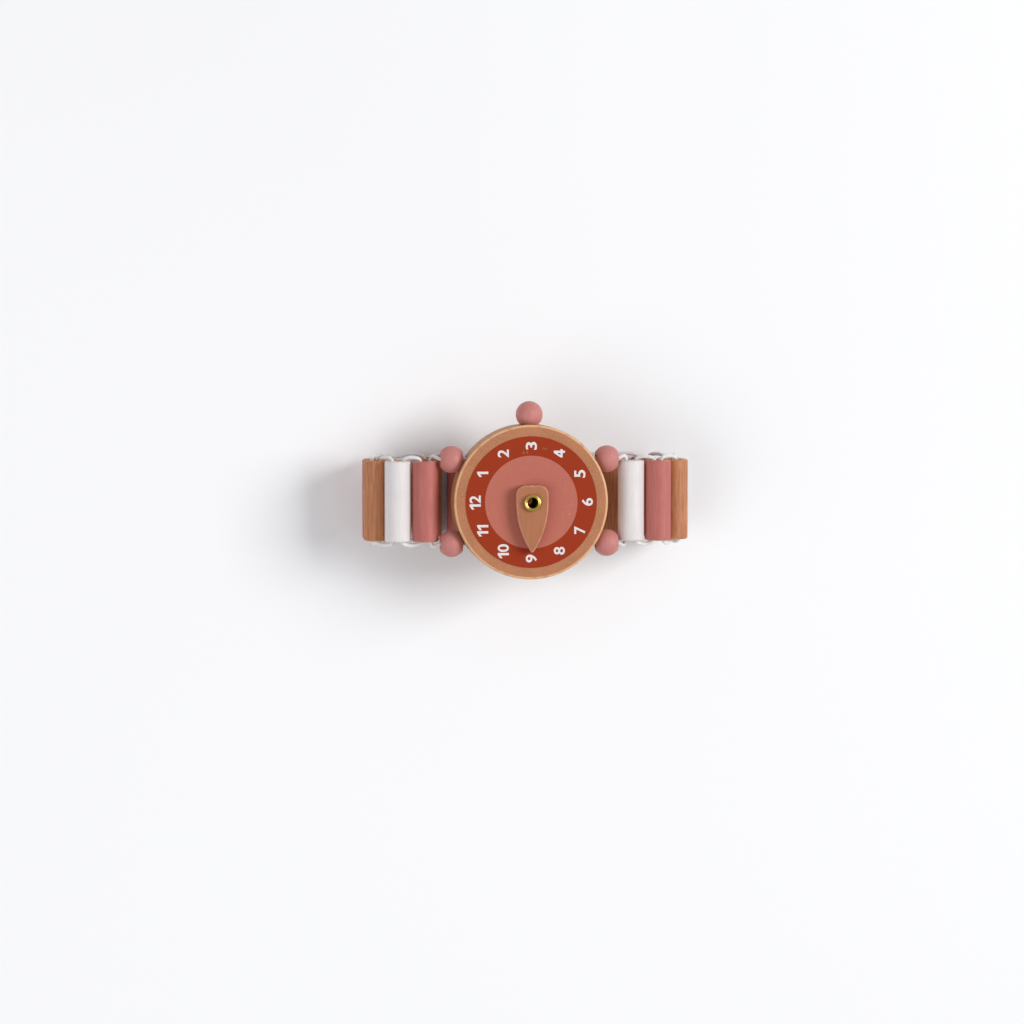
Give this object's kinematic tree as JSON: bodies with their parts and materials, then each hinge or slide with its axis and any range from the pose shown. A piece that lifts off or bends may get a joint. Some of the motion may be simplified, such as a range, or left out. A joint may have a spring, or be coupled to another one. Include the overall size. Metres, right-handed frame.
{
  "type": "toy wrist watch",
  "caption": "Wooden toy wrist watch: round case with a printed dial, one turning hand on a brass eyelet, bead lugs and a flexing bar strap on elastic cord.",
  "frame": {"origin": "centre of the case's back face, on the axis of the eyelet", "axes": "+Z out of the dial along the eyelet, +X along the strap towards six o'clock on the dial, +Y towards the crown at three o'clock"},
  "size_m": [0.0852, 0.0459, 0.032],
  "materials": {
    "case_wood": "fine-grained wood board, clear satin, slightly darker turned edge",
    "ring_print": "matte brick-red screen print on wood",
    "centre_print": "matte dusty-pink screen print on wood",
    "hand_paint": "satin tan paint on wood",
    "brass": "bright rolled brass",
    "pink_paint": "satin dusty-pink paint on wood",
    "white_paint": "satin white paint on wood",
    "tan_paint": "satin tan stain over visible grain",
    "peg_wood": "plain dowel",
    "elastic": "white braided elastic cord"
  },
  "bodies": {
    "case": {"case": "case_wood", "dial_ring": "ring_print", "dial_centre": "centre_print", "eyelet": "brass", "crown_bead": "pink_paint", "crown_peg": "peg_wood", "elastic_cord": "elastic"},
    "hand": {"hand": "hand_paint"},
    "bead_upper_right": {"bead_upper_right": "pink_paint"},
    "bead_upper_left": {"bead_upper_left": "pink_paint"},
    "bead_lower_right": {"bead_lower_right": "pink_paint"},
    "bead_lower_left": {"bead_lower_left": "pink_paint"},
    "bar_01": {"strap_bar_01": "white_paint"},
    "bar_02": {"strap_bar_02": "pink_paint"},
    "bar_03": {"strap_bar_03": "tan_paint"},
    "bar_04": {"strap_bar_04": "white_paint"},
    "bar_05": {"strap_bar_05": "pink_paint"},
    "bar_06": {"strap_bar_06": "tan_paint"},
    "bar_07": {"strap_bar_07": "white_paint"},
    "bar_08": {"strap_bar_08": "pink_paint"},
    "bar_09": {"strap_bar_09": "tan_paint"},
    "bar_10": {"strap_bar_10": "white_paint"},
    "bar_11": {"strap_bar_11": "pink_paint"},
    "bar_12": {"strap_bar_12": "tan_paint"},
    "bar_13": {"strap_bar_13": "white_paint"},
    "bar_14": {"strap_bar_14": "pink_paint"},
    "bar_15": {"strap_bar_15": "tan_paint"},
    "bar_16": {"strap_bar_16": "white_paint"},
    "bar_17": {"strap_bar_17": "pink_paint"}
  },
  "joints": [
    {"name": "hand_turn", "type": "hinge", "parent": "case", "child": "hand", "pos_m": [0, 0, 0.0117], "axis": [0, 0, -1], "continuous": true},
    {"name": "bead_upper_right_spin", "type": "hinge", "parent": "case", "child": "bead_upper_right", "pos_m": [0.02025, 0.0109, 0.005], "axis": [1, 0, 0], "continuous": true},
    {"name": "bead_upper_left_spin", "type": "hinge", "parent": "case", "child": "bead_upper_left", "pos_m": [-0.02025, 0.0109, 0.005], "axis": [1, 0, 0], "continuous": true},
    {"name": "bead_lower_right_spin", "type": "hinge", "parent": "case", "child": "bead_lower_right", "pos_m": [0.02025, -0.0109, 0.005], "axis": [1, 0, 0], "continuous": true},
    {"name": "bead_lower_left_spin", "type": "hinge", "parent": "case", "child": "bead_lower_left", "pos_m": [-0.02025, -0.0109, 0.005], "axis": [1, 0, 0], "continuous": true},
    {"name": "strap_flex", "type": "hinge", "parent": "case", "child": "bar_01", "pos_m": [0.01677, 0, 0.005], "axis": [0, 1, 0], "range_deg": [-6.54, 29.42], "stiffness_Nm_per_rad": 0.05, "deforming": ["elastic_cord"]},
    {"name": "strap_right_2", "type": "hinge", "parent": "bar_01", "child": "bar_02", "pos_m": [0.03042, 0, 0.00314], "axis": [0, 1, 0], "range_deg": [-1.43, 4.7]},
    {"name": "strap_right_3", "type": "hinge", "parent": "bar_02", "child": "bar_03", "pos_m": [0.03658, 0, 0.00053], "axis": [0, 1, 0], "range_deg": [-22.7, 5.43]},
    {"name": "strap_right_4", "type": "hinge", "parent": "bar_03", "child": "bar_04", "pos_m": [0.03909, 0, -0.00578], "axis": [0, 1, 0], "range_deg": [-26.55, 6.29]},
    {"name": "strap_right_5", "type": "hinge", "parent": "bar_04", "child": "bar_05", "pos_m": [0.03583, 0, -0.01209], "axis": [0, 1, 0], "range_deg": [-25.11, 5.97]},
    {"name": "strap_right_6", "type": "hinge", "parent": "bar_05", "child": "bar_06", "pos_m": [0.02859, 0, -0.01452], "axis": [0, 1, 0], "range_deg": [-2.44, 9.21]},
    {"name": "strap_right_7", "type": "hinge", "parent": "bar_06", "child": "bar_07", "pos_m": [0.02042, 0, -0.0146], "axis": [0, 1, 0], "range_deg": [-3.37, 13.43]},
    {"name": "strap_right_8", "type": "hinge", "parent": "bar_07", "child": "bar_08", "pos_m": [0.01226, 0, -0.0146], "axis": [0, 1, 0], "range_deg": [-2.63, 10.08]},
    {"name": "strap_right_9", "type": "hinge", "parent": "bar_08", "child": "bar_09", "pos_m": [0.00409, 0, -0.0146], "axis": [0, 1, 0], "range_deg": [-2.28, 8.52]},
    {"name": "strap_left_1", "type": "hinge", "parent": "case", "child": "bar_17", "pos_m": [-0.01677, 0, 0.005], "axis": [0, -1, 0], "range_deg": [-7.04, 29.92]},
    {"name": "strap_left_2", "type": "hinge", "parent": "bar_17", "child": "bar_16", "pos_m": [-0.03042, 0, 0.00314], "axis": [0, -1, 0], "range_deg": [-1.43, 4.7]},
    {"name": "strap_left_3", "type": "hinge", "parent": "bar_16", "child": "bar_15", "pos_m": [-0.03658, 0, 0.00053], "axis": [0, -1, 0], "range_deg": [-22.7, 5.43]},
    {"name": "strap_left_4", "type": "hinge", "parent": "bar_15", "child": "bar_14", "pos_m": [-0.03909, 0, -0.00578], "axis": [0, -1, 0], "range_deg": [-26.55, 6.29]},
    {"name": "strap_left_5", "type": "hinge", "parent": "bar_14", "child": "bar_13", "pos_m": [-0.03583, 0, -0.01209], "axis": [0, -1, 0], "range_deg": [-25.11, 5.97]},
    {"name": "strap_left_6", "type": "hinge", "parent": "bar_13", "child": "bar_12", "pos_m": [-0.02859, 0, -0.01452], "axis": [0, -1, 0], "range_deg": [-2.44, 9.21]},
    {"name": "strap_left_7", "type": "hinge", "parent": "bar_12", "child": "bar_11", "pos_m": [-0.02042, 0, -0.0146], "axis": [0, -1, 0], "range_deg": [-3.37, 13.43]},
    {"name": "strap_left_8", "type": "hinge", "parent": "bar_11", "child": "bar_10", "pos_m": [-0.01226, 0, -0.0146], "axis": [0, -1, 0], "range_deg": [-2.63, 10.08]}
  ],
  "couplings": [
    {"joint": "strap_right_2", "follows": "strap_flex", "ratio": 0.14279},
    {"joint": "strap_right_3", "follows": "strap_flex", "ratio": -0.75459},
    {"joint": "strap_right_4", "follows": "strap_flex", "ratio": -0.88541},
    {"joint": "strap_right_5", "follows": "strap_flex", "ratio": -0.8366},
    {"joint": "strap_right_6", "follows": "strap_flex", "ratio": 0.29602},
    {"joint": "strap_right_7", "follows": "strap_flex", "ratio": 0.43965},
    {"joint": "strap_right_8", "follows": "strap_flex", "ratio": 0.32566},
    {"joint": "strap_right_9", "follows": "strap_flex", "ratio": 0.27249},
    {"joint": "strap_left_1", "follows": "strap_flex", "ratio": 1},
    {"joint": "strap_left_2", "follows": "strap_flex", "ratio": 0.14279},
    {"joint": "strap_left_3", "follows": "strap_flex", "ratio": -0.75459},
    {"joint": "strap_left_4", "follows": "strap_flex", "ratio": -0.88541},
    {"joint": "strap_left_5", "follows": "strap_flex", "ratio": -0.8366},
    {"joint": "strap_left_6", "follows": "strap_flex", "ratio": 0.29602},
    {"joint": "strap_left_7", "follows": "strap_flex", "ratio": 0.43965},
    {"joint": "strap_left_8", "follows": "strap_flex", "ratio": 0.32566}
  ]
}
